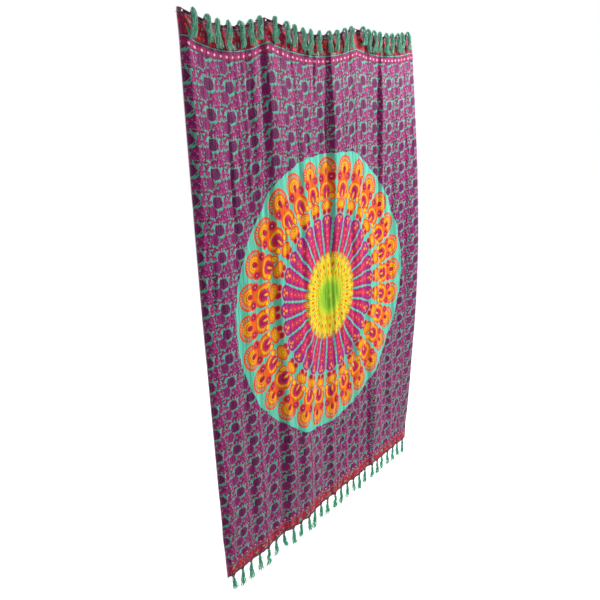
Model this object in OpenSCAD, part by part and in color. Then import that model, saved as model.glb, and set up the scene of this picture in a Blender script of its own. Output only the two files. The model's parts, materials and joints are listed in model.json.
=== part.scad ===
// A printed cotton tapestry hung on a wall from four nails, with knotted tassels along both ends.
// Frame: +Z is up, the printed face looks along -Y and the wall lies towards +Y.
// The origin is on the nail line, midway between the two corner nails, in the cloth's mid-plane.
// All sizes are in millimetres.

/* [Cloth] */
// Width of the hung cloth along its top and bottom edges
cloth_w = 1350; // [1200:10:1800]
// Height of the hung cloth between its two fringed edges, tassels not counted
cloth_h = 2070; // [1200:10:2600]
// Thickness of the cloth
cloth_t = 1.0; // [0.6:0.1:2]
// How far the loose right side edge bows out halfway down
side_bow = 50; // [0:5:100]

/* [Drape] */
// How far the folds stand out from the nail plane
fold_depth = 14; // [4:1:30]
// Number of folds in the left, middle and right span between nails
span_folds = [3, 4, 3]; // [1:1:6]
// How far the top edge dips in the left, middle and right span
span_sag = [40, 40, 22]; // [0:1:60]

/* [Side hems] */
// Width of the turned hem behind each side edge
hem_w = 10; // [6:1:12]
// Thickness of the turned hem
hem_t = 1.0; // [0.6:0.1:2]
// Distance from the side edge to the hem's stitch line
stitch_inset = 7; // [3:0.5:9]
// Width of the stitch line
stitch_w = 0.8; // [0.5:0.1:1.5]
// Height of the stitches above the cloth
stitch_t = 0.4; // [0.3:0.1:1]

/* [Nails] */
// Distance of each corner nail from the cloth's side edge
corner_nail_inset = 16; // [16:1:40]
// Distance of the left inner nail from the centre line
left_nail_offset = 297; // [200:1:350]
// Distance of the right inner nail from the centre line
right_nail_offset = 230; // [200:1:350]
// Distance of each nail below the cloth's top edge
nail_drop = 10; // [6:1:20]
// Diameter of a nail's shank
nail_d = 1.8; // [1.2:0.1:3]
// Diameter of a nail's head
nail_head_d = 6; // [4:0.5:10]
// Thickness of a nail's head
nail_head_t = 1.0; // [0.5:0.1:2]
// Gap from the cloth's front to the underside of a nail's head
nail_head_gap = 4.5; // [4:0.5:10]
// Distance from the cloth's mid-plane to the wall
wall_gap = 10; // [6:1:30]
// Straight length of shank driven into the wall
nail_bite = 15; // [8:1:40]
// Length of a nail's point
nail_point = 3; // [2:0.5:6]
// Radial play of a nail in its hole in the cloth
nail_hole_play = 1.6; // [1.4:0.1:2]

/* [Tassels] */
// Clear distance from a nail to the middle of the next tassel on the top edge
nail_clear = 38; // [20:1:50]
// Tassels between the left corner nail and the left inner nail
left_span_tassels = 7; // [2:1:8]
// Tassels between the two inner nails
middle_span_tassels = 10; // [2:1:10]
// Tassels between the right inner nail and the right corner nail
right_span_tassels = 9; // [2:1:9]
// Radius of the knot that ties a tassel
knot_r = 4; // [3:0.5:6]
// Gap between a knot and the edge of the cloth
knot_gap = 0.4; // [0.3:0.1:1]
// Radius of the yarn bundle where it leaves the knot
neck_r = 2.5; // [1.5:0.5:3]
// Radius of the loose yarn ends
skirt_r = 5.5; // [3:0.5:7]
// Length of loose yarn below the knot
tassel_len = 76; // [30:1:120]
// Radius of the arch where a top tassel falls forward over the edge
arch_r = 6; // [6:0.5:12]

/* [Hidden] */
tassel_count = left_span_tassels + middle_span_tassels + right_span_tassels;

// A name with a two-digit number behind it, such as tassel_top_04
function numbered(stem, i) = str(stem, i < 10 ? "0" : "", i);

cloth_color = "#a82f78";
hem_color = "#8c2a68";
thread_color = "#d8a0c0";
yarn_color = "#3f9f82";
nail_color = "#8a8a86";

half_w = cloth_w / 2;
bottom_z = nail_drop - cloth_h;
left = -1;
right = 1;
cutter_extra = 1;
fold_step = 12;
side_steps = 16;
round_fn = 48;

// Where the nails and the tassels stand along the width
nail_x = [corner_nail_inset - half_w, -left_nail_offset, right_nail_offset, half_w - corner_nail_inset];
span_w = [for (k = [0:2]) nail_x[k + 1] - nail_x[k]];
span_tassels = [left_span_tassels, middle_span_tassels, right_span_tassels];
top_tassel_x = [
    for (k = [0:2])
        for (j = [0:span_tassels[k] - 1])
            nail_x[k] + nail_clear + (span_w[k] - 2 * nail_clear) * j / (span_tassels[k] - 1)
];
bottom_tassel_x = [for (i = [0:tassel_count - 1]) cloth_w * ((i + 0.5) / tassel_count - 0.5)];

// Which of the three spans a point lies in, and how far along it from 0 to 1
function span_at(x) = x < nail_x[1] ? 0 : x < nail_x[2] ? 1 : 2;
function along_span(x) = let (k = span_at(x)) min(max((x - nail_x[k]) / span_w[k], 0), 1);

// The folds stand forward of the nail plane and vanish at every nail
function fold_y(x) = -fold_depth * pow(sin(180 * span_folds[span_at(x)] * along_span(x)), 2);

// The top edge dips as a parabola between nails; slant is the length of the sloping edge per unit of width
function top_z(x) = nail_drop - 4 * span_sag[span_at(x)] * along_span(x) * (1 - along_span(x));
function top_slope(x) = 4 * span_sag[span_at(x)] * (2 * along_span(x) - 1) / span_w[span_at(x)];
function slant(x) = sqrt(1 + pow(top_slope(x), 2));

// A side edge at a height between the bottom (0) and the top (1); only the right one bows
function side_x(side, s) = side * half_w + (side == right ? side_bow * sin(180 * s) : 0);
function side_z(s) = bottom_z + s * cloth_h;

fold_xs = [for (i = [0:ceil((cloth_w + side_bow) / fold_step)]) i * fold_step - half_w];
top_xs = [for (x = fold_xs) if (x < half_w) x];

// Solid that follows the folds, between two offsets from the cloth's mid-plane
module folded_sheet(front, back) {
    translate([0, 0, bottom_z - cutter_extra])
        linear_extrude(height = cloth_h + 2 * cutter_extra)
            polygon(concat(
                [for (x = fold_xs) [x, fold_y(x) + front]],
                [for (i = [len(fold_xs) - 1:-1:0]) [fold_xs[i], fold_y(fold_xs[i]) + back]]
            ));
}

// Cutter with the front view given as points in X and Z
module front_view(points) {
    rotate([90, 0, 0])
        linear_extrude(height = 4 * (fold_depth + cloth_t + hem_t), center = true)
            polygon(points);
}

// Front view of the whole cloth: dipped top edge, bowed right edge, straight bottom and left edges
module cloth_outline() {
    front_view(concat(
        [for (x = top_xs) [x, top_z(x)]],
        [for (i = [side_steps:-1:0]) [side_x(right, i / side_steps), side_z(i / side_steps)]],
        [[-half_w, bottom_z]]
    ));
}

// Front view of a strip that runs along a side edge, between two distances in from it
module side_strip(side, near, far) {
    front_view(concat(
        [for (i = [0:side_steps]) [side_x(side, i / side_steps) - side * near, side_z(i / side_steps)]],
        [for (i = [side_steps:-1:0]) [side_x(side, i / side_steps) - side * far, side_z(i / side_steps)]]
    ));
}

module nail_holes() {
    for (x = nail_x)
        translate([x, 0, 0])
            rotate([90, 0, 0])
                cylinder(r = nail_d / 2 + nail_hole_play, h = 4 * cloth_t, center = true, $fn = round_fn);
}

module cloth_panel() {
    color(cloth_color)
        difference() {
            intersection() {
                folded_sheet(-cloth_t / 2, cloth_t / 2);
                cloth_outline();
            }
            nail_holes();
        }
}

// The side edge turned to the back and lying against the panel
module side_hem(side) {
    color(hem_color)
        intersection() {
            folded_sheet(cloth_t / 2, cloth_t / 2 + hem_t);
            cloth_outline();
            side_strip(side, 0, hem_w);
        }
}

// The line of stitches that shows on the front and holds the hem
module hem_thread(side) {
    color(thread_color)
        intersection() {
            folded_sheet(-cloth_t / 2 - stitch_t, -cloth_t / 2);
            cloth_outline();
            side_strip(side, stitch_inset - stitch_w / 2, stitch_inset + stitch_w / 2);
        }
}

// One nail as a turned shape: flat head, straight shank and a point, driven along +Y
module nail() {
    shank = nail_head_t + nail_head_gap + cloth_t / 2 + wall_gap + nail_bite;
    translate([0, -cloth_t / 2 - nail_head_gap - nail_head_t, 0])
        rotate([-90, 0, 0])
            rotate_extrude($fn = round_fn)
                polygon([
                    [0, 0],
                    [nail_head_d / 2, 0],
                    [nail_head_d / 2, nail_head_t],
                    [nail_d / 2, nail_head_t],
                    [nail_d / 2, shank],
                    [0, shank + nail_point]
                ]);
}

module wall_nails() {
    color(nail_color)
        for (x = nail_x)
            translate([x, 0, 0])
                nail();
}

// Loose yarn ends that spread downwards from the neck
module skirt() {
    translate([0, 0, -tassel_len])
        cylinder(r1 = skirt_r, r2 = neck_r, h = tassel_len, $fn = round_fn);
}

// A tassel that leaves the top edge upwards, arches forward and hangs in front of the cloth
module top_tassel(i) {
    x = top_tassel_x[i - 1];
    color(yarn_color)
        translate([x, fold_y(x), top_z(x) + (knot_r + knot_gap) * slant(x)]) {
            sphere(r = knot_r, $fn = round_fn);
            translate([0, -arch_r, 0])
                rotate([90, 0, 90])
                    rotate_extrude(angle = 180, $fn = round_fn)
                        translate([arch_r, 0])
                            circle(r = neck_r, $fn = round_fn);
            translate([0, -2 * arch_r, 0])
                skirt();
        }
}

// A tassel that hangs straight down from the bottom edge
module bottom_tassel(i) {
    x = bottom_tassel_x[i - 1];
    color(yarn_color)
        translate([x, fold_y(x), bottom_z - knot_r - knot_gap]) {
            sphere(r = knot_r, $fn = round_fn);
            skirt();
        }
}

cloth_panel();
side_hem(left);  // side_hem_left
side_hem(right);  // side_hem_right
hem_thread(left);  // hem_thread_left
hem_thread(right);  // hem_thread_right
wall_nails();
for (i = [1:tassel_count])
    top_tassel(i);
for (i = [1:tassel_count])
    bottom_tassel(i);
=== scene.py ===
"""A printed cotton tapestry with knotted tassels, hung by its top edge from four small wall nails."""
import json
import math

import bpy
import numpy as np
from mathutils import Matrix, Vector


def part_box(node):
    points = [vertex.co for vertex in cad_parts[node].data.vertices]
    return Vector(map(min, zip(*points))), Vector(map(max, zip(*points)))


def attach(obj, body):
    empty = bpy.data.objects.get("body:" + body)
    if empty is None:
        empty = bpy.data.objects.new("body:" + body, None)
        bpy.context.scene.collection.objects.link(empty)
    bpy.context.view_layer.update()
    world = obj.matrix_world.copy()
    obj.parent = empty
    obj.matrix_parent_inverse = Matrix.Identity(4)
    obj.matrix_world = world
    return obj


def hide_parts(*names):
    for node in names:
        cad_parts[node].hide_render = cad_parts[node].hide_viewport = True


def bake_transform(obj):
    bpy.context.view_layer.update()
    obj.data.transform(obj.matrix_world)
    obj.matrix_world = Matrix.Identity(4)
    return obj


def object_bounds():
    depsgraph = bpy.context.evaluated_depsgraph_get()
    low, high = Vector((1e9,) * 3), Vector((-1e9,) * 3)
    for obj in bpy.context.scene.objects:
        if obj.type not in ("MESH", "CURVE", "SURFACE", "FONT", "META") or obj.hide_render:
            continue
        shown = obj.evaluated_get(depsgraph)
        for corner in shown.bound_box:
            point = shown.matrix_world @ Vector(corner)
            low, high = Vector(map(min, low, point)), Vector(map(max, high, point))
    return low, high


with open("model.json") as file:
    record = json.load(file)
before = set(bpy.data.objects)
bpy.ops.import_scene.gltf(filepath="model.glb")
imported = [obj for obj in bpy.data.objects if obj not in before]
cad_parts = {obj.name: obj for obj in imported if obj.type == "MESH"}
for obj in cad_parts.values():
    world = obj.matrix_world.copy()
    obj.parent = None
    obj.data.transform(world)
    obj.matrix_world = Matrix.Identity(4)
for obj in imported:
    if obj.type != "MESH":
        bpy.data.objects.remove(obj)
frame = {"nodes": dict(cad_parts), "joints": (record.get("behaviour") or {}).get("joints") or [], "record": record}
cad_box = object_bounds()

# ---- Camera -------------------------------------------------------------------------------------
# The viewer stands to the left of the cloth, about at the height of its upper third, and looks
# along it and slightly down. The eye, view line and level line are those of a 36 mm lens.

eye = Vector((-1.944, -1.539, -0.292))
look = Vector((0.7207, 0.6244, -0.3011)).normalized()
level = Vector((0.6456, -0.7628, -0.0363)).normalized()
upright = level.cross(look).normalized()
camera_data = bpy.data.cameras.new("view_camera")
camera_data.lens = 36.3
camera_data.sensor_width = 36.0
camera_data.dof.use_dof = False
camera = bpy.data.objects.new("view_camera", camera_data)
bpy.context.scene.collection.objects.link(camera)
turn = Matrix((level, upright, -look)).transposed().to_4x4()
camera.matrix_world = Matrix.Translation(eye) @ turn
bpy.context.scene.camera = camera

# ---- Printed cotton -----------------------------------------------------------------------------
# Plain-woven cotton sheeting, screen-printed by hand: a turquoise ground, magenta flower tiles,
# a round mandala of 28 petals and a striped border at each fringed end. Matt, a little uneven
# where the screens met, with a faint sheen from sizing.

CLOTH_FLAT_W = 1.42
CLOTH_FLAT_L = 2.07
MM = 1000.0
PETALS = 28
TURQUOISE = "#5fceb2"


def linear(hex_colour):
    """An sRGB hex colour as linear red, green, blue and an alpha of 1."""
    parts = [int(hex_colour[i:i + 2], 16) / 255 for i in (1, 3, 5)]
    return [c / 12.92 if c <= 0.04045 else ((c + 0.055) / 1.055) ** 2.4 for c in parts] + [1.0]


def add(nodes, kind, feeds=(), out=0, stops=(), **settings):
    """Adds a shader node with its settings and links, and returns one output, or all of them when
    out is None. feeds fills the inputs, as a list in order or a dict by name: a value, an output
    to link, or None to leave an input alone. stops are a ramp's (place, colour); a colour of None
    is clear."""
    node = nodes.new("ShaderNode" + kind)
    for name, value in settings.items():
        setattr(node, name, value)
    for place, feed in feeds.items() if isinstance(feeds, dict) else enumerate(feeds):
        if isinstance(feed, bpy.types.NodeSocket):
            nodes.id_data.links.new(feed, node.inputs[place])
        elif feed is not None:
            node.inputs[place].default_value = feed
    if stops:
        marks = node.color_ramp.elements
        marks.remove(marks[1])
        marks[0].position = stops[0][0]
        marks[0].color = linear(stops[0][1]) if stops[0][1] else [0] * 4
        for place, colour in stops[1:]:
            marks.new(place).color = linear(colour) if colour else [0] * 4
        node.color_ramp.interpolation = "CONSTANT" if any(c is None for _, c in stops) else "LINEAR"
    return node.outputs if out is None else node.outputs[out]


def motif(nodes, under, place, centre, reach, stops, inner=None):
    """One printed motif laid over what is under it: bands of ink at scaled distances round a
    centre, sqrt((x / reach_x)^2 + (y / reach_y)^2), each (from, colour) up to the next and none
    past 1. inner is a shorter reach on the near side of the centre."""
    offset = add(nodes, "VectorMath", [place, (*centre, 0)], operation="SUBTRACT")
    scaled = add(nodes, "VectorMath", [offset, (1 / reach[0], 1 / reach[1], 0)], operation="MULTIPLY")
    if inner:
        near = add(nodes, "VectorMath", [scaled, (1, -reach[1] / inner, 0)], operation="MULTIPLY")
        scaled = add(nodes, "VectorMath", [scaled, near], operation="MAXIMUM")
    distance = add(nodes, "VectorMath", [scaled], out=1, operation="LENGTH")
    colour, inked = add(nodes, "ValToRGB", [distance], out=None, stops=[*stops, (1.0, None)])
    return add(nodes, "MixRGB", [inked, under, colour])


def flower_tiles(nodes, flat):
    """The ground: a repeat of 100 by 95 mm with a dark round rose and a paler flower, each in a
    ring of bare turquoise lace, small blossoms and a curly network of the same turquoise. The
    small blossoms are cells and the network is the gap between them, as wide as a noise says, all
    wrapped round the tile by the sines and cosines of its two directions, so that they repeat
    without a seam. The rings are bent by the same noise."""
    bare = "#50ba9c"
    tile = (100.0, 95.0, 1.0)
    turns = add(nodes, "VectorMath", [flat, [2 * math.pi / w for w in tile]], operation="MULTIPLY")
    along_x, along_y, _ = add(nodes, "SeparateXYZ", [turns], out=None)
    cos_x, cos_y = (add(nodes, "Math", [t], operation="COSINE") for t in (along_x, along_y))
    sin_x, sin_y = (add(nodes, "Math", [t], operation="SINE") for t in (along_x, along_y))
    round_tile = add(nodes, "CombineXYZ", [cos_x, sin_x, cos_y])
    cell = {"Vector": round_tile, "W": sin_y, "Scale": 0.85, "Randomness": 1.0}
    cells = add(nodes, "TexVoronoi", cell, voronoi_dimensions="4D", feature="F1")
    gaps = add(nodes, "TexVoronoi", cell, voronoi_dimensions="4D", feature="DISTANCE_TO_EDGE")
    curls, bend = add(nodes, "TexNoise", {"Vector": round_tile, "W": sin_y, "Scale": 1.6, "Detail": 1.0},
                      out=None, noise_dimensions="4D")
    wide = add(nodes, "MapRange", [curls, 0.44, 0.68, -0.02, 0.15])
    vine = add(nodes, "Math", [gaps, wide], operation="LESS_THAN")
    blossom = add(nodes, "ValToRGB", [cells], stops=[
        (0, "#d83c98"), (0.22, "#6c0c50"), (0.3, "#b01c7e"), (0.44, "#740c52"), (0.5, "#a81a78"),
        (0.6, "#760e54"), (0.66, "#a0166c"), (0.8, "#6c0c4a")])
    ground = add(nodes, "MixRGB", [vine, blossom, linear(bare)])
    in_tile = add(nodes, "VectorMath", [flat, (50, 47.5, 1), (-50, -47.5, 0)], operation="WRAP")
    lace = add(nodes, "VectorMath", [bend, (44, 44, 0), (-22, -22, 0)], operation="MULTIPLY_ADD")
    lace = add(nodes, "VectorMath", [lace, in_tile], operation="ADD")
    for x, y, size in ((0, 2, 26), (-24, 34, 23), (-24, -61, 23)):
        ground = motif(nodes, ground, lace, (x, y), (size, size), [(0, None), (0.87, bare)])
    for x, y, wide, high in ((11, 22, 12, 4.5), (25, -11, 4, 10), (-24, -10, 4, 9)):
        ground = motif(nodes, ground, in_tile, (x, y), (wide, high), [(0, bare)])
    for y in (34, 34 - 95):
        ground = motif(nodes, ground, in_tile, (-24, y), (18, 21), [
            (0, "#66104e"), (0.2, "#8c1a6a"), (0.45, "#721256"), (0.62, "#941c6e"), (0.88, "#68104c")])
    for x, y, size in ((33, 9, 7), (39, 27, 7), (20, 36, 6.5), (17, -38, 7), (38, -36, 7), (-40, 2, 6.5)):
        ground = motif(nodes, ground, in_tile, (x, y), (size, size), [
            (0, "#d85aa4"), (0.28, "#8c1864"), (0.62, "#b02c80"), (0.86, "#68104c")])
    return motif(nodes, ground, in_tile, (0, 2), (21.5, 19.5), [
        (0, "#480c3c"), (0.16, "#78165e"), (0.34, "#560e48"), (0.52, "#841a66"), (0.68, "#5e104e"),
        (0.9, "#861a68")])


def mandala(nodes, under, flat):
    """The round design: 28 equal sectors, printed a little narrower across than down. A place in
    a sector is how far across it (-0.5 to 0.5) and how far out from the centre in millimetres;
    motifs in pairs use the distance across."""
    middle = (0.514 * CLOTH_FLAT_W * MM, 0.509 * CLOTH_FLAT_L * MM, 0)
    spoke = add(nodes, "VectorMath", [flat, middle], operation="SUBTRACT")
    spoke = add(nodes, "VectorMath", [spoke, (1.06, 1, 1)], operation="MULTIPLY")
    out = add(nodes, "VectorMath", [spoke], out=1, operation="LENGTH")
    x, y, _ = add(nodes, "SeparateXYZ", [spoke], out=None)
    angle = add(nodes, "Math", [x, y], operation="ARCTAN2")
    turn = add(nodes, "Math", [angle, PETALS / (2 * math.pi)], operation="MULTIPLY")
    across = add(nodes, "Math", [turn, 0.5, -0.5], operation="WRAP")
    aside = add(nodes, "Math", [across], operation="ABSOLUTE")
    place = add(nodes, "CombineXYZ", [across, out, 0.0])
    pair = add(nodes, "CombineXYZ", [aside, out, 0.0])

    waver = add(nodes, "TexNoise", {"Vector": flat, "Scale": 0.012})
    rim = add(nodes, "Math", [waver, 26.0, out], operation="MULTIPLY_ADD")
    inside = add(nodes, "Math", [rim, 622.0], operation="LESS_THAN")
    colour = add(nodes, "MixRGB", [inside, under, linear("#62d0b4")])

    # Long petals with scalloped purple edges, widening outwards, and a line of drops along each
    ripple = add(nodes, "Math", [out, 2 * math.pi / 23], operation="MULTIPLY")
    ripple = add(nodes, "Math", [ripple], operation="SINE")
    scallop = add(nodes, "Math", [ripple, 0.02, aside], operation="MULTIPLY_ADD")
    scallop = add(nodes, "Math", [out, -0.0004, scallop], operation="MULTIPLY_ADD")
    petal, inked = add(nodes, "ValToRGB", [scallop], out=None, stops=[
        (0, "#e02c66"), (0.1, "#d0246a"), (0.2, "#b82478"), (0.27, "#962078"), (0.315, None)])
    short_of_tip = add(nodes, "Math", [out, 340.0], operation="LESS_THAN")
    on_petal = add(nodes, "Math", [inked, short_of_tip], operation="MULTIPLY")
    colour = add(nodes, "MixRGB", [on_petal, colour, petal])
    for distance, size in ((218, 6), (242, 7), (268, 7), (294, 7)):
        colour = motif(nodes, colour, place, (0, distance), (0.016 * size, size), [
            (0, "#fba838"), (0.45, "#ee4a3c"), (0.8, "#a81f54")])
        colour = motif(nodes, colour, pair, (0.24, distance + 13), (0.055, 7), [
            (0, "#c43a8c"), (0.5, "#661a60")])
    colour = motif(nodes, colour, place, (0, 332), (0.45, 26), [
        (0, "#d42466"), (0.34, "#a81e6c"), (0.5, "#c83c94"), (0.66, "#98207a"), (0.86, "#b43090")])
    colour = motif(nodes, colour, place, (0, 326), (0.13, 15), [(0, "#fcbc1c"), (0.5, "#e63c4c")])
    colour = motif(nodes, colour, pair, (0.14, 341), (0.08, 6), [(0, "#f4963a")])

    # Red buds, then the first small fan
    colour = motif(nodes, colour, pair, (0.19, 371), (0.18, 14), [
        (0, "#a81444"), (0.5, "#d82a34"), (0.8, "#f2541c")])
    colour = motif(nodes, colour, place, (0, 394), (0.42, 27), [
        (0, "#fccc10"), (0.2, "#f47a10"), (0.32, "#fcbc08"), (0.52, "#f06a14"), (0.62, "#fcae08"),
        (0.74, "#f0521c")], inner=18)

    # Second fan: two leaves, a magenta heart with a yellow stem, yellow and orange scallops
    colour = motif(nodes, colour, place, (0, 458), (0.47, 47), [
        (0, "#b81a5c"), (0.5, "#ea4628"), (0.56, "#fdb408"), (0.74, "#f67c14"), (0.84, "#f04e1c")], inner=34)
    colour = motif(nodes, colour, pair, (0.34, 432), (0.15, 17), [(0, "#fdc40c"), (0.66, "#f2541c")])
    colour = motif(nodes, colour, place, (0, 452), (0.24, 32), [
        (0, "#a8145c"), (0.6, "#cc205e"), (0.9, "#ee4c28")])
    colour = motif(nodes, colour, place, (0, 440), (0.06, 19), [(0, "#fdc40c"), (0.7, "#f06a1c")])

    # Pair of red balls, then the outer fan with its dashed rim
    colour = motif(nodes, colour, place, (0, 512), (0.2, 22), [(0, "#f46a14")])
    colour = motif(nodes, colour, pair, (0.3, 512), (0.17, 22), [
        (0, "#f08c98"), (0.16, "#a8144c"), (0.45, "#c8204c"), (0.72, "#f2541c")])
    fan_out, fan_reach = 538.0, (0.45, 58.0)
    colour = motif(nodes, colour, place, (0, fan_out), fan_reach, [(0, "#f2561c")], inner=13)
    side = add(nodes, "Math", [across, 1 / fan_reach[0]], operation="MULTIPLY")
    beyond = add(nodes, "Math", [out, fan_out], operation="SUBTRACT")
    beyond = add(nodes, "Math", [beyond, 1 / fan_reach[1]], operation="MULTIPLY")
    lean = add(nodes, "Math", [side, beyond], operation="ARCTAN2")
    dash = add(nodes, "Math", [lean, 26.0], operation="MULTIPLY")
    dash = add(nodes, "Math", [dash], operation="SINE")
    dash = add(nodes, "Math", [dash, 0.1], operation="GREATER_THAN")
    fan_place = add(nodes, "CombineXYZ", [side, beyond, 0.0])
    fan_place = add(nodes, "VectorMath", [fan_place], out=1, operation="LENGTH")
    gap, in_gap = add(nodes, "ValToRGB", [fan_place], out=None, stops=[
        (0, None), (0.68, TURQUOISE), (0.85, None)])
    outer_half = add(nodes, "Math", [beyond, 0.02], operation="GREATER_THAN")
    in_gap = add(nodes, "Math", [in_gap, dash], operation="MULTIPLY")
    in_gap = add(nodes, "Math", [in_gap, outer_half], operation="MULTIPLY")
    colour = add(nodes, "MixRGB", [in_gap, colour, gap])
    colour = motif(nodes, colour, place, (0, fan_out), (0.29, 37), [
        (0, "#f0521c"), (0.36, "#fdb408"), (0.52, "#f26814"), (0.62, "#fdba08"), (0.82, "#f67c14")], inner=14)
    colour = motif(nodes, colour, place, (0, 536), (0.09, 17), [(0, "#a8144c"), (0.6, "#cc2038")])

    # Yellow disc: green in the middle, rays, drops and a scalloped edge of small rings
    colour = motif(nodes, colour, place, (0, 176), (0.46, 22), [
        (0, "#fbf2b0"), (0.24, "#f08a1c"), (0.45, "#f4d820"), (0.66, "#ec6a10")])
    disc_reach = add(nodes, "Math", [out, 1 / 200], operation="MULTIPLY")
    disc = add(nodes, "ValToRGB", [disc_reach], stops=[
        (0, "#b4d838"), (0.08, "#84be2c"), (0.27, "#90c82c"), (0.36, "#c8dc20"), (0.5, "#f0dc18"),
        (1.0, "#fad010")])
    on_disc = add(nodes, "Math", [out, 170.0], operation="LESS_THAN")
    colour = add(nodes, "MixRGB", [on_disc, colour, disc])
    ray = add(nodes, "Math", [aside, 0.445], operation="GREATER_THAN")
    ray_start = add(nodes, "Math", [out, 58.0], operation="GREATER_THAN")
    ray_end = add(nodes, "Math", [out, 190.0], operation="LESS_THAN")
    ray = add(nodes, "Math", [ray, ray_start], operation="MULTIPLY")
    ray = add(nodes, "Math", [ray, ray_end], operation="MULTIPLY")
    colour = add(nodes, "MixRGB", [ray, colour, linear("#74c46c")])
    colour = motif(nodes, colour, place, (0, 138), (0.27, 17), [
        (0, "#ee5c0c"), (0.42, "#f89808"), (0.8, "#fce03c")])
    return motif(nodes, colour, place, (0, 103), (0.25, 13), [(0, "#f28408"), (0.6, "#f8bc10")])


def end_border(nodes, under, flat):
    """The striped border at each fringed end, by distance in from the end. The lower border was
    cut narrower, so its distances are stretched. Pink and red dots sit on a magenta stripe. A
    pale line 2.5 mm wide runs down each side edge: partly the print stopping short of the edge,
    partly a painted highlight along the fold of the turned hem."""
    x, y, _ = add(nodes, "SeparateXYZ", [flat], out=None)
    from_foot = add(nodes, "Math", [y, -1.55, CLOTH_FLAT_L * MM * 1.55], operation="MULTIPLY_ADD")
    inward = add(nodes, "Math", [y, from_foot], operation="MINIMUM")
    place = add(nodes, "CombineXYZ", [x, inward, 0.0])
    cells = add(nodes, "TexVoronoi", {"Vector": place, "Scale": 0.062})
    patch = add(nodes, "ValToRGB", [cells], stops=[
        (0, "#f68c1c"), (0.14, "#f0481a"), (0.32, "#d61c2a"), (0.48, "#b4183c"), (0.58, "#6c1038"),
        (0.66, "#cc1c32"), (0.86, "#4fb898")])
    stripe = add(nodes, "Math", [x, 2 * math.pi / 47], operation="MULTIPLY")
    stripe = add(nodes, "Math", [stripe], operation="SINE")
    stripe = add(nodes, "Math", [stripe, 0.72], operation="GREATER_THAN")
    patch = add(nodes, "MixRGB", [stripe, patch, linear("#941a54")])
    reach = add(nodes, "Math", [inward, 1 / 125], operation="MULTIPLY")
    band, on_band = add(nodes, "ValToRGB", [reach], out=None, stops=[
        (0, "#701448"), (0.085, "#4f9d8c"), (0.1, "#641038"), (0.13, None), (0.59, "#641038"),
        (0.61, "#58c0a6"), (0.634, "#74164e"), (0.66, "#8c1c5e"), (0.84, "#741450"), (0.86, None)])
    in_border = add(nodes, "Math", [inward, 100.0], operation="LESS_THAN")
    colour = add(nodes, "MixRGB", [in_border, under, patch])
    colour = add(nodes, "MixRGB", [on_band, colour, band])
    step = add(nodes, "Math", [x, 14.0, -14.0], operation="WRAP")
    between = add(nodes, "Math", [step], operation="ABSOLUTE")
    red_dots = add(nodes, "CombineXYZ", [between, inward, 0.0])
    pink_dots = add(nodes, "CombineXYZ", [step, inward, 0.0])
    colour = motif(nodes, colour, red_dots, (14, 96), (4.6, 4.4), [(0, "#cc1838")])
    from_side = add(nodes, "Math", [x, -1.0, CLOTH_FLAT_W * MM], operation="MULTIPLY_ADD")
    from_side = add(nodes, "Math", [x, from_side], operation="MINIMUM")
    # Pale line down each side edge: the print stops short there, and it is also a painted highlight on the hem's
    # fold
    selvedge_and_painted_highlight = add(nodes, "Math", [from_side, 2.5], operation="LESS_THAN")
    colour = add(nodes, "MixRGB", [selvedge_and_painted_highlight, colour, linear("#d6b4c6")])
    return motif(nodes, colour, pink_dots, (0, 96), (5.8, 5.0), [(0, "#f8c4dc"), (0.7, "#dc5c94")])


print_tree = bpy.data.node_groups.new("hand_printed_pattern", "ShaderNodeTree")
print_tree.interface.new_socket("Flat cloth", in_out="INPUT", socket_type="NodeSocketVector")
print_tree.interface.new_socket("Ink", in_out="OUTPUT", socket_type="NodeSocketColor")
flat_place = print_tree.nodes.new("NodeGroupInput").outputs[0]
pattern = flower_tiles(print_tree.nodes, flat_place)
pattern = mandala(print_tree.nodes, pattern, flat_place)
pattern = end_border(print_tree.nodes, pattern, flat_place)
print_tree.links.new(pattern, print_tree.nodes.new("NodeGroupOutput").inputs[0])


def new_finish(name, **sockets):
    """A material whose principled shader has its own sockets set. Returns it, its nodes and the
    shader's inputs; an underscore in a socket's name stands for a space."""
    material = bpy.data.materials.new(name)
    material.use_nodes = True
    inputs = material.node_tree.nodes["Principled BSDF"].inputs
    for socket, value in sockets.items():
        inputs[socket.replace("_", " ")].default_value = value
    return material, material.node_tree.nodes, inputs


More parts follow.
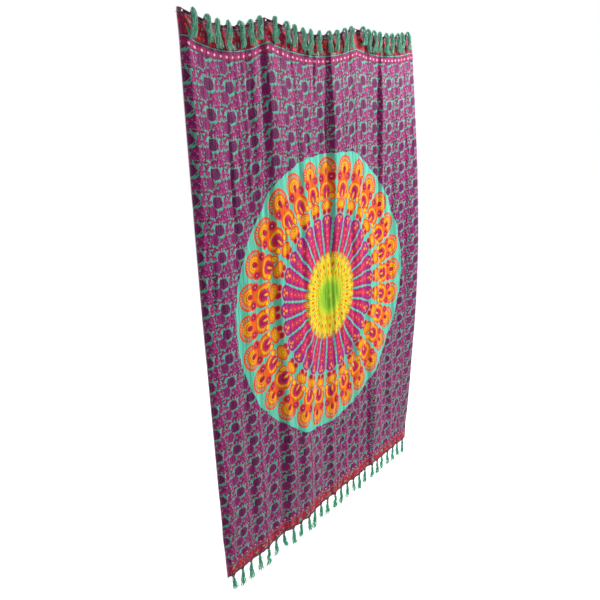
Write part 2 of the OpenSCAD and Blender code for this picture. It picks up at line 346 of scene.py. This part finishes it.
def printed_cotton(name, soak):
    """Matt cotton sheeting. soak is how strongly the ink shows: 1 on the printed face, less on
    the back, where it came through the threads. The weave is drawn at 2 mm, several times too
    coarse, so that it shows at all."""
    material, nodes, shader = new_finish(
        name, Roughness=0.5, Sheen_Weight=0.01, Sheen_Roughness=0.4, Specular_IOR_Level=0.1)
    uv = add(nodes, "UVMap", uv_map="cloth")
    size = (CLOTH_FLAT_W * MM, -CLOTH_FLAT_L * MM, 1)
    flat = add(nodes, "VectorMath", [uv, size, (0, CLOTH_FLAT_L * MM, 0)], operation="MULTIPLY_ADD")
    # The cloth was a little off when it was printed, so the design wanders by a millimetre or two
    slip = add(nodes, "TexNoise", {"Vector": flat, "Scale": 0.05}, out=1)
    slip = add(nodes, "VectorMath", [slip, (4, 4, 0), (-2, -2, 0)], operation="MULTIPLY_ADD")
    inked_at = add(nodes, "VectorMath", [flat, slip], operation="ADD")
    ink = add(nodes, "Group", [inked_at], node_tree=print_tree)
    uneven = add(nodes, "TexNoise", {"Vector": flat, "Scale": 0.35, "Detail": 4.0})
    wear = add(nodes, "MapRange", [uneven, 0.5, 0.85, 0.0, 0.12])
    cotton = add(nodes, "MixRGB", [wear, ink, linear("#e6dce2")])
    if soak < 1:
        cotton = add(nodes, "MixRGB", [soak, linear("#d9cdd3"), cotton])
    nodes.id_data.links.new(cotton, shader["Base Color"])
    threads = add(nodes, "VectorMath", [flat, [math.pi] * 3], operation="MULTIPLY")
    over, under, _ = add(nodes, "SeparateXYZ", [threads], out=None)
    over, under = (add(nodes, "Math", [t], operation="SINE") for t in (over, under))
    weave = add(nodes, "Math", [over, under], operation="MULTIPLY")
    long_way = add(nodes, "VectorMath", [flat, (1, 0.2, 1)], operation="MULTIPLY")
    crumple = add(nodes, "TexNoise", {"Vector": long_way, "Scale": 0.06, "Detail": 5.0, "Roughness": 0.55})
    height = add(nodes, "Math", [crumple, 52.0, weave], operation="MULTIPLY_ADD")
    bump = add(nodes, "Bump", {"Strength": 0.6, "Distance": 0.0003, "Height": height})
    nodes.id_data.links.new(bump, shader["Normal"])
    return material


face_cotton = printed_cotton("printed_cotton_face", 1.0)
back_cotton = printed_cotton("printed_cotton_back", 0.62)

# ---- Cloth panel --------------------------------------------------------------------------------
# One length of the printed cotton, about 1.42 by 2.07 m before it is hung. It is caught on four
# nails along its top edge, dips between them and falls in soft upright folds that follow the
# creases it was packed with.

panel_low, panel_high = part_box("cloth_panel")
pins = [m["pos_m"] for m in frame["record"]["mounts"] if m["kind"] == "pin"]
nail_x = np.sort([pin[0] for pin in pins])
cloth_left = panel_low[0]
cloth_w = -2 * cloth_left
edge_z = panel_high[2]
foot_z = panel_low[2]
side_bow = panel_high[0] + cloth_left
span_sag = np.array([0.040, 0.040, 0.022])

# Each fold: distance from the left edge, half-width of its steep side, run of its gentle side,
# and depth near the top, at the middle and near the foot, all in metres
folds = (
    (0.015, 0.014, 0.20, 0.010, 0.008, 0.012),
    (0.095, 0.018, 0.09, 0.002, 0.006, 0.004),
    (0.190, 0.030, 0.12, 0.003, 0.003, 0.012),
    (0.290, 0.022, 0.07, 0.007, 0.004, 0.006),
    (0.366, 0.020, 0.28, 0.015, 0.012, 0.018),
    (0.470, 0.034, 0.15, 0.000, 0.002, 0.015),
    (0.536, 0.018, 0.15, 0.002, 0.008, 0.000),
    (0.690, 0.020, 0.06, 0.000, 0.000, 0.008),
    (0.724, 0.011, 0.30, 0.013, 0.009, 0.004),
    (0.882, 0.018, 0.12, 0.003, 0.008, 0.005),
    (0.935, 0.014, 0.10, 0.003, 0.000, 0.000),
    (0.992, 0.020, 0.20, 0.000, 0.006, 0.015),
    (1.083, 0.013, 0.24, 0.012, 0.003, 0.000),
    (1.165, 0.018, 0.12, 0.000, 0.000, 0.009),
    (1.192, 0.014, 0.12, 0.006, 0.002, 0.000),
    (1.290, 0.020, 0.12, 0.004, 0.008, 0.003),
)


def smooth_step(x):
    """0 below 0, 1 above 1, and 3x^2 - 2x^3 between."""
    x = np.clip(x, 0, 1)
    return x * x * (3 - 2 * x)


def top_edge(x):
    """Height of the top edge: a parabola between each pair of nails, 4 * sag * t * (1 - t)."""
    span = np.clip(np.searchsorted(nail_x, x) - 1, 0, 2)
    start, end = nail_x[span], nail_x[span + 1]
    t = np.clip((x - start) / (end - start), 0, 1)
    return edge_z - 4 * span_sag[span] * t * (1 - t)


crush = np.random.default_rng(7)
ridges = np.stack([crush.uniform(0, 1.35, 240), crush.uniform(-2.1, 0, 240), crush.normal(0, 0.07, 240),
                   crush.uniform(0.005, 0.013, 240), crush.uniform(0.06, 0.30, 240),
                   crush.uniform(-1, 1, 240) * 0.0045], -1)


def crumples(x, z):
    """Small creases from handling: for each ridge, h * exp(-(u / w)^2 - (v / l)^2), where u and v
    are the distances across and along it."""
    height = np.zeros_like(x)
    for at_x, at_z, slant, wide, long, high in ridges:
        along = (z - at_z) * math.cos(slant) + (x - at_x) * math.sin(slant)
        aside = (x - at_x) * math.cos(slant) - (z - at_z) * math.sin(slant)
        height += high * np.exp(-(aside / wide) ** 2 - (along / long) ** 2)
    return height


def drape(across, down):
    """Where a point of the flat cloth hangs. across and down run from 0 to 1.
    Sideways: evenly spread, and the right edge bows out as a half sine. Height: straight from the
    dipped top edge to the foot. Depth: each fold is a steep step forward and a straight run back,
    plus ripples, faint packing creases, small rays at each nail and a curl of the right edge."""
    across, down = np.broadcast_arrays(np.asarray(across, float), np.asarray(down, float))
    half_turn = np.sin(np.pi * down)
    x = cloth_left + cloth_w * across + (side_bow * across ** 10 - 0.010 * (1 - across) ** 4) * half_turn
    top = top_edge(cloth_left + cloth_w * across)
    foot = foot_z + 0.004 * np.sin(across * 31) * np.sin(across * 7)
    z = top + (foot - top) * down

    place = across * cloth_w
    y = np.zeros_like(place)
    for number, (centre, steep, run, high, middle, low) in enumerate(folds):
        depth = np.interp(down, (0, 0.15, 0.46, 0.87, 1), (0.3 * high, high, middle, low, 0.45 * low))
        wander = 0.006 * np.sin(2 * np.pi * (1.2 * down + 0.37 * number))
        past = place - centre - wander
        y -= 1.45 * depth * smooth_step((past + steep) / (1.7 * steep)) * (1 - smooth_step(past / run))
    swell = 0.5 + 0.5 * np.sin(2 * np.pi * (place / 0.31 + 0.6 * down))
    y -= 0.0012 * np.sin(2 * np.pi * (place / 0.047 + 0.8 * np.sin(2.1 * down + 1))) * swell
    y -= 0.0010 * np.sin(2 * np.pi * (place / 0.071 - 0.7 * np.sin(3.3 * down)))
    y += crumples(place, z) - 0.003
    for crease in (0.29, 0.558, 0.83):
        y -= 0.0014 * np.exp(-np.abs(down - crease) * CLOTH_FLAT_L / 0.010)
    right_curl = smooth_step((across - 0.86) / 0.14)
    y -= 0.024 * right_curl * half_turn

    depth_below = edge_z - z
    for nail in nail_x:
        reach = np.hypot(x - nail, depth_below)
        ray = np.cos(7 * np.arctan2(x - nail, depth_below + 0.015))
        y = y * (1 - np.exp(-(reach / 0.045) ** 2)) - 0.0045 * ray * (reach / 0.05) * np.exp(-reach / 0.05)
    return np.stack([x, y, z], -1)


def sheet_mesh(name, points, uv, rolled=False):
    """A mesh from a grid of points (rows, columns, 3) with one quad per cell and its flat place
    as the UV map named cloth. Rows run down and columns to the right, so faces look along -Y.
    A rolled one joins its last column to its first and has a cap at both ends."""
    rows, columns = points.shape[:2]
    index = np.arange(rows * columns).reshape(rows, columns)
    caps = np.stack([index[0], index[-1, ::-1]]) if rolled else np.zeros((0, columns), int)
    if rolled:
        index = np.concatenate([index, index[:, :1]], 1)
    quads = np.stack([index[:-1, :-1], index[1:, :-1], index[1:, 1:], index[:-1, 1:]], -1).reshape(-1, 4)
    mesh = bpy.data.meshes.new(name)
    mesh.from_pydata(points.reshape(-1, 3), [], [*quads.tolist(), *caps.tolist()])
    layer = mesh.uv_layers.new(name="cloth")
    corners = np.concatenate([quads.ravel(), caps.ravel()])
    layer.uv.foreach_set("vector", uv.reshape(-1, 2)[corners].astype(np.float32).ravel())
    mesh.polygons.foreach_set("use_smooth", np.ones(len(mesh.polygons), bool))
    piece = bpy.data.objects.new(name, mesh)
    bpy.context.scene.collection.objects.link(piece)
    return piece


rows, columns = 170, 281
across, down = np.meshgrid(np.linspace(0, 1, columns), np.linspace(0, 1, rows))
panel = sheet_mesh("printed_panel", drape(across, down), np.stack([across, 1 - down], -1))
panel.data.materials.append(face_cotton)
panel.data.materials.append(back_cotton)
thickness = panel.modifiers.new("cloth_thickness", "SOLIDIFY")
thickness.thickness = 0.0007
thickness.offset = 0
thickness.material_offset = 1
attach(panel, "cloth")
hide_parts("cloth_panel")

# ---- Side hems ----------------------------------------------------------------------------------
# Each long edge of the cloth is turned 10 mm to the back, so the printed face shows on the turn.
# A flattened, rounded roll of the same cotton that lies against the back of the panel.

hem_w = 0.010
hem_t = 0.0012


def side_hem(name, side):
    """A closed flat roll along one side edge: an oval section, x = w (1 - cos a) / 2 and
    y = t sin(a) / 2, carried down the draped edge behind the panel."""
    turn = np.linspace(0, 2 * np.pi, 16, endpoint=False)
    run = np.linspace(0, 1, rows)
    inward = hem_w * (1 - np.cos(turn)) / 2
    across_edge = inward / cloth_w if side == "left" else 1 - inward / cloth_w
    points = drape(across_edge[None, :], run[:, None])
    points[..., 1] += 0.0005 + hem_t / 2 + hem_t / 2 * np.sin(turn)[None, :] * 0.95
    uv = np.stack(np.broadcast_arrays(across_edge[None, :], 1 - run[:, None]), -1)
    if side == "left":
        points, uv = points[:, ::-1], uv[:, ::-1]
    hem = sheet_mesh(name, points, uv, rolled=True)
    hem.data.materials.append(face_cotton)
    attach(hem, "cloth")
    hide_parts("side_hem_" + side)
    return hem


hems = [side_hem("turned_hem_left", "left"), side_hem("turned_hem_right", "right")]

# ---- Hem stitches -------------------------------------------------------------------------------
# A single line of lockstitch in pink sewing thread down each hem, a 3.2 mm stitch every 4 mm. Each
# stitch is a small rounded bar of thread, half sunk in the cloth.


def thread_finish():
    """Mercerised cotton sewing thread: smooth, twisted, with a soft shine and faint slubs."""
    material, nodes, shader = new_finish("sewing_thread_pink", Roughness=0.5)
    place = add(nodes, "TexCoord", out=3)
    slub = add(nodes, "TexNoise", {"Vector": place, "Scale": 900.0})
    shade = add(nodes, "MapRange", [slub, 0.3, 0.7, 0.0, 1.0])
    colour = add(nodes, "MixRGB", [shade, linear("#b8689a"), linear("#e0a6c6")])
    nodes.id_data.links.new(colour, shader["Base Color"])
    return material


pink_thread = thread_finish()
stitch_step = 0.0040
stitch_l = 0.0032
stitch_r = 0.00045
stitch_in = 0.007


def stitch_line(name, side):
    """Stitches down one hem: each is four rings of six points, of radius r sin(b) at l/2 cos(b)
    along the edge, with a small flat cap at both ends."""
    around = np.linspace(0, 2 * np.pi, 6, endpoint=False)
    along = np.linspace(0.3, np.pi - 0.3, 4)
    ring = np.stack(np.broadcast_arrays(
        stitch_r * np.sin(along)[:, None] * np.cos(around),
        stitch_r * np.sin(along)[:, None] * np.sin(around),
        stitch_l / 2 * np.cos(along)[:, None]), -1).reshape(-1, 3)
    count = int((edge_z - foot_z) / stitch_step)
    run = (np.arange(count) + 0.5) / count
    inset = stitch_in / cloth_w if side == "left" else 1 - stitch_in / cloth_w
    spots = drape(np.full(count, inset), run)
    spots[:, 1] -= 0.0005
    points = (spots[:, None] + ring[None]).reshape(-1, 3)
    index = np.arange(len(ring)).reshape(4, 6)
    beside = np.roll(index, -1, 1)
    quads = np.stack([index[:-1], index[1:], beside[1:], beside[:-1]], -1).reshape(-1, 4)
    caps = np.stack([index[0], index[-1, ::-1]])
    first = (np.arange(count) * len(ring))[:, None, None]
    faces = [*(first + quads).reshape(-1, 4).tolist(), *(first + caps).reshape(-1, 6).tolist()]
    mesh = bpy.data.meshes.new(name)
    mesh.from_pydata(points, [], faces)
    mesh.polygons.foreach_set("use_smooth", np.ones(len(faces), bool))
    stitches = bpy.data.objects.new(name, mesh)
    bpy.context.scene.collection.objects.link(stitches)
    stitches.data.materials.append(pink_thread)
    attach(stitches, "cloth")
    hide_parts("hem_thread_" + side)
    return stitches


seams = [stitch_line("hem_stitches_left", "left"), stitch_line("hem_stitches_right", "right")]

# ---- Tassels ------------------------------------------------------------------------------------
# The cloth's own turquoise warp ends, left long at both ends of the weave. About 50 mm of edge is
# gathered into each, knotted close to the cloth, and the loose yarn below the knot waves and
# spreads. The top row stands up from the edge, falls forward and lies over the border.


def yarn_finish(name, shade, tint):
    """Loose cotton warp yarn dyed blue-green, in patches of a shade and a tint: soft twist that
    shows as slanting lines, with painted shade between the plies, and the print's magenta on the
    first centimetre next to the cloth."""
    material, nodes, shader = new_finish(name, Roughness=0.85, Sheen_Weight=0.15)
    uv = add(nodes, "UVMap", uv_map="yarn")
    around, length, _ = add(nodes, "SeparateXYZ", [uv], out=None)
    ply = add(nodes, "Math", [length, 2600.0], operation="MULTIPLY")
    ply = add(nodes, "Math", [around, 4 * math.pi, ply], operation="MULTIPLY_ADD")
    ply = add(nodes, "Math", [ply], operation="SINE")
    place = add(nodes, "TexCoord", out=3)
    patches = add(nodes, "TexNoise", {"Vector": place, "Scale": 160.0, "Detail": 3.0})
    tone = add(nodes, "MapRange", [patches, 0.3, 0.7, 0.0, 1.0])
    colour = add(nodes, "MixRGB", [tone, linear(shade), linear(tint)])
    # Painted shade: the yarn's colour is darkened in the grooves between its plies
    ply_groove_shade = add(nodes, "MapRange", [ply, -1.0, 0.2, 0.35, 0.0])
    colour = add(nodes, "MixRGB", [ply_groove_shade, colour, linear("#14694e")])
    ragged = add(nodes, "Math", [patches, 0.010, length], operation="MULTIPLY_ADD")
    printed = add(nodes, "MapRange", [ragged, 0.012, 0.016, 1.0, 0.0])
    colour = add(nodes, "MixRGB", [printed, colour, linear("#981c50")])
    nodes.id_data.links.new(colour, shader["Base Color"])
    bump = add(nodes, "Bump", {"Strength": 0.5, "Distance": 0.0003, "Height": ply})
    nodes.id_data.links.new(bump, shader["Normal"])
    return material


# Painted light: the top row's yarn is coloured lighter, as it looks where it is lit, and the bottom row's darker,
# as painted shade; both are the same yarn
yarn_painted_lit_or_shaded = {"top": yarn_finish("yarn_painted_lit_top", "#4bb893", "#a4ead2"),
               "bottom": yarn_finish("yarn_painted_shaded_bottom", "#12a878", "#5adcb0")}
chance = np.random.default_rng(28)
yarns = 18
yarn_r = 0.0011
yarn_sides = 6
path_steps = 34


def spline(points, steps):
    """A smooth line through points (n, 3): Catmull-Rom, each stretch a cubic whose slope at a
    point is half the way from the one before to the one after."""
    points = np.asarray(points, float)
    ends = np.concatenate([[2 * points[0] - points[1]], points, [2 * points[-1] - points[-2]]])
    u = np.linspace(0, len(points) - 1 - 1e-9, steps)
    k, t = u.astype(int), (u % 1)[:, None]
    a, b, c, d = ends[k], ends[k + 1], ends[k + 2], ends[k + 3]
    bend = (2 * a - 5 * b + 4 * c - d) * t ** 2 + (3 * b - a - 3 * c + d) * t ** 3
    return 0.5 * (2 * b + (c - a) * t + bend)


def tubes(name, paths, radii):
    """Round yarns along paths (count, steps, 3): rings of radius r set square to the path, made
    from its direction and a side vector, with closed ends. The UV map holds turns round the yarn
    and metres along it."""
    count, steps = paths.shape[:2]
    ahead = np.gradient(paths, axis=1)
    ahead /= np.linalg.norm(ahead, axis=-1, keepdims=True) + 1e-12
    side = np.cross(ahead, np.array([0.31, 0.95, 0.05]))
    side /= np.linalg.norm(side, axis=-1, keepdims=True) + 1e-12
    other = np.cross(ahead, side)
    turn = np.linspace(0, 2 * np.pi, yarn_sides, endpoint=False)
    taper = radii[:, :, None, None]
    cosine, sine = np.cos(turn)[:, None], np.sin(turn)[:, None]
    ring = cosine * side[:, :, None] + sine * other[:, :, None]
    points = paths[:, :, None] + taper * ring
    index = np.arange(count * steps * yarn_sides).reshape(count, steps, yarn_sides)
    beside = np.roll(index, -1, 2)
    quads = np.stack([index[:, :-1], beside[:, :-1], beside[:, 1:], index[:, 1:]], -1).reshape(-1, 4)
    gone = np.linalg.norm(np.diff(paths, axis=1), axis=-1).cumsum(1)
    length = np.concatenate([np.zeros((count, 1)), gone], 1)
    turns = (np.arange(yarn_sides)[:, None] + np.array([0, 1, 1, 0])) / yarn_sides
    near, far = length[:, :-1], length[:, 1:]
    metres = np.stack([near, near, far, far], -1)[:, :, None]
    flat = np.stack(np.broadcast_arrays(turns, metres), -1).reshape(-1, 2)
    caps = np.concatenate([index[:, 0, ::-1], index[:, -1]])
    cap_metres = np.repeat(np.concatenate([length[:, 0], length[:, -1]]), yarn_sides)
    flat = np.concatenate([flat, np.stack([np.zeros_like(cap_metres), cap_metres], -1)])
    mesh = bpy.data.meshes.new(name)
    mesh.from_pydata(points.reshape(-1, 3), [], [*quads.tolist(), *caps.tolist()])
    layer = mesh.uv_layers.new(name="yarn")
    layer.uv.foreach_set("vector", flat.astype(np.float32).ravel())
    mesh.polygons.foreach_set("use_smooth", np.ones(len(mesh.polygons), bool))
    piece = bpy.data.objects.new(name, mesh)
    bpy.context.scene.collection.objects.link(piece)
    return piece


def tassel(name, start, middle_line, knot_at, flare):
    """A bundle of yarns round a middle line. Each yarn keeps a place (rho, phi) in the bundle that
    turns slowly along it; the bundle is a flat 26 mm fan at the cloth, tight at the knot, and
    opens towards the ends. Two turns of a thicker yarn wrap the knot."""
    middle = spline(middle_line, path_steps)
    step = np.linspace(0, 1, path_steps)
    ahead = np.gradient(middle, axis=0)
    ahead /= np.linalg.norm(ahead, axis=-1, keepdims=True)
    sideways = np.array([1.0, 0.0, 0.0])
    outward = np.cross(ahead, sideways)
    outward /= np.linalg.norm(outward, axis=-1, keepdims=True) + 1e-9
    rho = np.sqrt((np.arange(yarns) + 0.5) / yarns)[:, None]
    phi = (np.arange(yarns) * 2.4)[:, None] + 2.2 * step[None, :] + chance.uniform(-0.3, 0.3, (yarns, 1))
    before = smooth_step(1 - step / knot_at)
    after = smooth_step((step - knot_at) / (1 - knot_at))
    tight = 0.0017
    wide = tight + 0.011 * before
    opened = smooth_step((step - knot_at) / 0.14)
    deep = tight + 0.0022 * opened + flare * 0.0032 * after
    wave = 0.0014 * opened * np.sin(2 * np.pi * (
        chance.uniform(1.8, 3.6, (yarns, 1)) * step[None, :] + chance.uniform(0, 1, (yarns, 1))))
    splay = 0.0030 * after ** 2 * chance.normal(0, 1, (yarns, 1))
    reach_side = (wide + 1.7 * (deep - tight))[None, :] * rho * np.cos(phi) + wave + splay
    reach_out = deep[None, :] * rho * np.sin(phi) + 0.6 * wave
    paths = start + middle[None] + reach_side[..., None] * sideways + reach_out[..., None] * outward[None]
    stop = 1 - 0.10 * chance.uniform(0, 1, (yarns, 1, 1)) * after[None, :, None]
    paths = start + (paths - start) * np.where(after[None, :, None] > 0.5, stop, 1)
    radii = yarn_r * (1 - 0.45 * before)[None, :] * np.ones((yarns, 1))
    spot = int(knot_at * (path_steps - 1))
    coil = np.linspace(0, 2.6 * 2 * np.pi, path_steps)
    lift = np.linspace(-0.0026, 0.0026, path_steps)
    centre, axis, out = middle[spot], ahead[spot], outward[spot]
    wrap = start + centre + lift[:, None] * axis + 0.0029 * (
        np.cos(coil)[:, None] * sideways + np.sin(coil)[:, None] * out)
    paths = np.concatenate([paths, wrap[None]])
    radii = np.concatenate([radii, np.full((1, path_steps), 1.5 * yarn_r)])
    return tubes(name, paths, radii)


pivots = {joint["child"]: np.array(joint["pos_m"]) for joint in frame["joints"]}
tassel_names = sorted(body for body in pivots if "tassel" in body)
for body in tassel_names:
    row, _, number = body.split("_")
    across_at = (pivots[body][0] - cloth_left) / cloth_w
    lean, curl, sway = chance.uniform(-1, 1, 3)
    longer = chance.uniform(0.84, 1.08)
    if row == "top":
        start = drape(across_at, 0.0) + np.array([0, 0, -0.0015])
        line = [(0, 0, 0), (0.001 * lean, -0.001, 0.006), (0.003 * lean, -0.006, 0.013 + 0.002 * sway),
                (0.006 * lean, -0.0135, 0.009), (0.009 * lean, -0.0160, -0.010),
                (0.011 * lean + 0.004 * sway, -0.0150, -0.030 * longer),
                (0.014 * lean - 0.004 * sway, -0.0140, -0.050 * longer),
                (0.014 * lean + 0.013 * curl, -0.0140, -0.070 * longer)]
        knot_at, flare = 0.16, 1.5
    else:
        start = drape(across_at, 1.0) + np.array([0, 0, 0.0015])
        line = [(0, 0, 0), (0, 0, -0.009), (0.001 * lean, 0, -0.014), (0.003 * lean, -0.001 * sway, -0.034),
                (0.005 * curl, -0.002 * sway, -0.054 * longer),
                (0.004 * lean + 0.003 * curl, 0.002 * sway, -0.070 * longer),
                (0.004 * lean + 0.011 * curl, 0.001 * sway, -0.086 * longer)]
        knot_at, flare = 0.25, 1.5
    piece = tassel(f"yarn_tassel_{row}_{number}", start, line, knot_at, flare)
    # The top row takes the yarn painted as lit, the bottom row the yarn painted as shaded
    piece.data.materials.append(yarn_painted_lit_or_shaded[row])
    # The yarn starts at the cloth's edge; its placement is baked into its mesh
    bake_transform(piece)
    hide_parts(f"tassel_{row}_{number}")

# ---- Wall nails ---------------------------------------------------------------------------------
# Four fine bright steel nails, driven into the wall through the cloth's top edge. Drawn wire,
# lightly brushed and a little dull.

nail_steel, steel_nodes, steel = new_finish("drawn_steel_wire", Metallic=1.0)
steel_place = add(steel_nodes, "TexCoord", out=3)
steel_along = add(steel_nodes, "VectorMath", [steel_place, (1, 0.05, 1)], operation="MULTIPLY")
drawn = add(steel_nodes, "TexNoise", {"Vector": steel_along, "Scale": 4000.0})
dull = add(steel_nodes, "MapRange", [drawn, 0.3, 0.7, 0.28, 0.5])
tone = add(steel_nodes, "MixRGB", [drawn, linear("#8f8f8c"), linear("#b9b9b4")])
nail_steel.node_tree.links.new(dull, steel["Roughness"])
nail_steel.node_tree.links.new(tone, steel["Base Color"])
for material_slot in frame["nodes"]["wall_nails"].material_slots:
    material_slot.material = nail_steel

# ---- Floor and light ----------------------------------------------------------------------------
# A plain pale studio: a matt floor below the tassels, a soft light high on the right of the cloth
# that rakes across its folds, weaker ones behind it and low in front, and an even fill from a
# white surround.

floor_gap = 0.30
floor_half = 12.0
ground_z = float(cad_box[0][2]) - floor_gap
floor_mesh = bpy.data.meshes.new("studio_floor")
floor_corners = [(floor_half * x, floor_half * y, ground_z) for x, y in ((-1, -1), (1, -1), (1, 1), (-1, 1))]
floor_mesh.from_pydata(floor_corners, [], [(0, 1, 2, 3)])
floor = bpy.data.objects.new("studio_floor", floor_mesh)
bpy.context.scene.collection.objects.link(floor)
matt_white, floor_nodes, floor_shader = new_finish(
    "studio_white", Base_Color=linear("#c8c8c8"), Roughness=0.9, Specular_IOR_Level=0.0,
    Emission_Color=linear("#ffffff"))
seen = add(floor_nodes, "LightPath")
glow = add(floor_nodes, "MapRange", [seen, 0.0, 1.0, 0.0, 0.80])
matt_white.node_tree.links.new(glow, floor_shader["Emission Strength"])
floor_mesh.materials.append(matt_white)

world = bpy.data.worlds.new("studio")
bpy.context.scene.world = world
world.use_nodes = True
surround = world.node_tree.nodes["Background"].inputs
surround[0].default_value = linear("#ffffff")
seen = add(world.node_tree.nodes, "LightPath")
world.node_tree.links.new(add(world.node_tree.nodes, "MapRange", [seen, 0.0, 1.0, 0.40, 1.0]), surround[1])
bpy.context.scene.view_settings.view_transform = "Standard"


def soft_light(name, place, aim, size, watts):
    """A square area light at a place, turned to an aim point."""
    lamp = bpy.data.lights.new(name, "AREA")
    lamp.energy = watts
    lamp.size = size
    holder = bpy.data.objects.new(name, lamp)
    bpy.context.scene.collection.objects.link(holder)
    direction = Vector(aim) - Vector(place)
    holder.matrix_world = Matrix.Translation(place) @ direction.to_track_quat("-Z", "Y").to_matrix().to_4x4()


soft_light("key_light", (2.3, -1.35, 1.0), (0.0, 0, -0.7), 0.5, 150)
soft_light("back_light", (-1.6, 2.6, 0.4), (0, 0, -1.0), 1.5, 90)
soft_light("low_light", (1.0, -1.9, -1.8), (-0.4, 0, -1.7), 0.4, 7)
